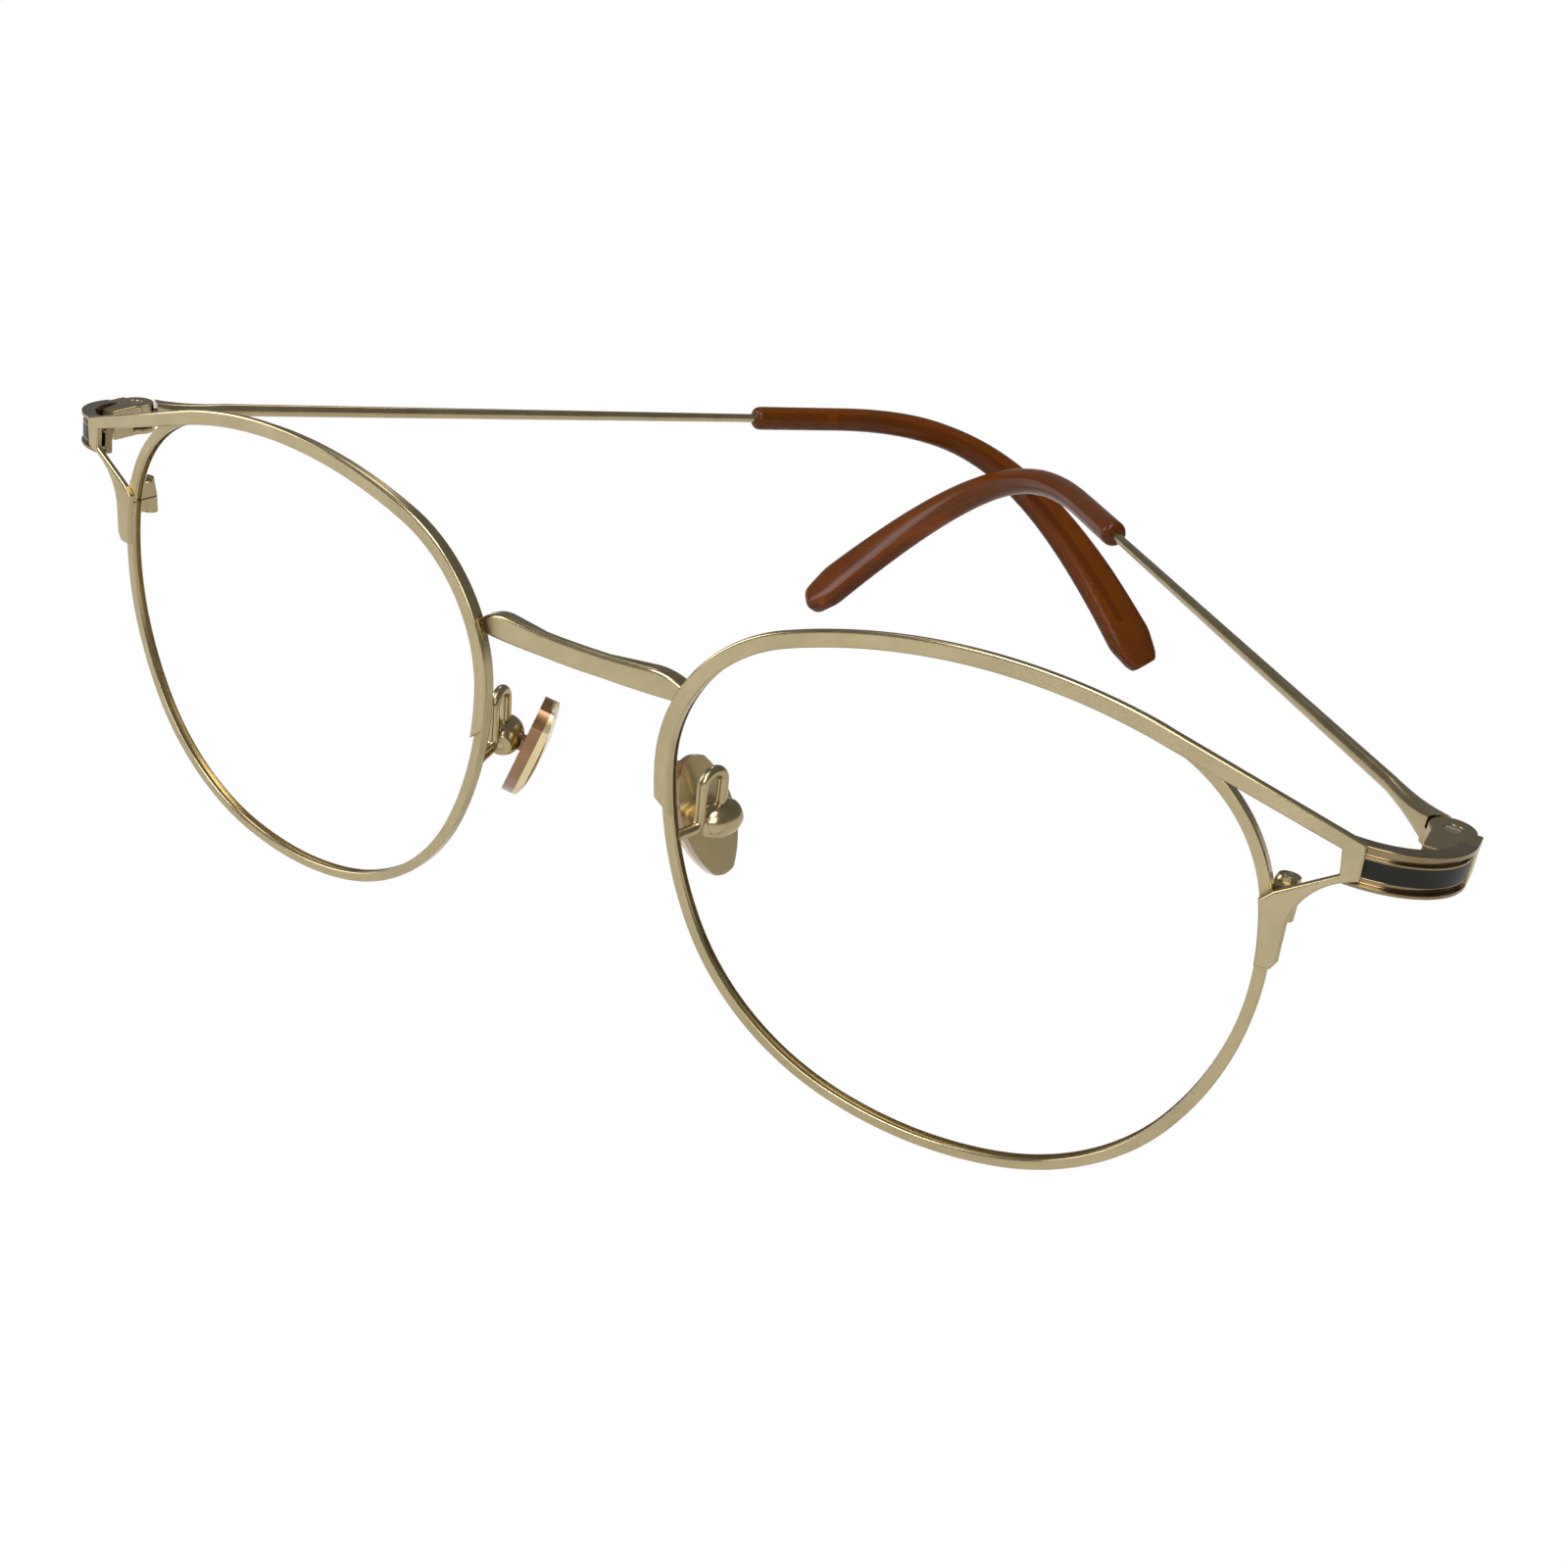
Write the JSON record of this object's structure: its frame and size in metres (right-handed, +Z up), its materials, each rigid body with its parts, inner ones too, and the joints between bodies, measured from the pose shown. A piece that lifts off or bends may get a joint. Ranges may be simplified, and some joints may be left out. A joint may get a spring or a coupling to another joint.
{
  "type": "eyeglass frame",
  "caption": "Metal eyeglass frame with rounded openings, flat brow plates, channel end pieces, hinged wire temples with curved tips, and rocking nose pads",
  "frame": {"origin": "on the surface that the frame stands on, under the middle of the box round the whole frame", "axes": "+X to the right in the picture, across the front; +Y from the front to the temple tips; +Z up"},
  "size_m": [0.1384, 0.1143, 0.0453],
  "materials": {
    "wire": "polished pale gold plate on the rims, pad arms and closing blocks",
    "plate": "satin champagne gold plate with polished edges",
    "screw": "polished",
    "inlay": "black enamel",
    "acetate": "polished translucent brown acetate",
    "pad": "pale gold moulded pad"
  },
  "bodies": {
    "front": {"bridge": "plate", "rim_right": "wire", "rim_left": "wire", "brow_plate_right": "plate", "brow_plate_left": "plate", "rim_lock_upper_right": "wire", "rim_lock_upper_left": "wire", "rim_lock_lower_right": "wire", "rim_lock_lower_left": "wire", "rim_lock_screw_right": "screw", "rim_lock_screw_left": "screw", "end_piece_right": "plate", "end_piece_left": "plate", "end_inlay_right": "inlay", "end_inlay_left": "inlay", "hinge_block_right": "plate", "hinge_block_left": "plate", "hinge_screw_right": "screw", "hinge_screw_left": "screw", "pad_arm_right": "wire", "pad_arm_left": "wire", "pad_barrel_right": "wire", "pad_barrel_left": "wire", "pad_pin_right": "screw", "pad_pin_left": "screw"},
    "temple_right": {"temple_right": "plate", "temple_tip_right": "acetate"},
    "temple_left": {"temple_left": "plate", "temple_tip_left": "acetate"},
    "pad_right": {"nose_pad_right": "pad"},
    "pad_left": {"nose_pad_left": "pad"}
  },
  "joints": [
    {"name": "temple_hinge_right", "type": "hinge", "parent": "front", "child": "temple_right", "pos_m": [0.0671, -0.04225, 0.036], "axis": [0, 0, 1], "range_deg": [-39.2, 40.8]},
    {"name": "temple_hinge_left", "type": "hinge", "parent": "front", "child": "temple_left", "pos_m": [-0.0671, -0.04225, 0.036], "axis": [0, 0, -1], "range_deg": [-28.3, 29.4]},
    {"name": "pad_rock_right", "type": "hinge", "parent": "front", "child": "pad_right", "pos_m": [0.01164, -0.05004, 0.02099], "axis": [0.389, 0.9063, 0.1651], "range_deg": [-8, 8]},
    {"name": "pad_rock_left", "type": "hinge", "parent": "front", "child": "pad_left", "pos_m": [-0.01164, -0.05004, 0.02099], "axis": [-0.389, 0.9063, 0.1651], "range_deg": [-8, 8]}
  ],
  "couplings": [
    {"joint": "temple_hinge_left", "follows": "temple_hinge_right", "ratio": 0.72}
  ]
}
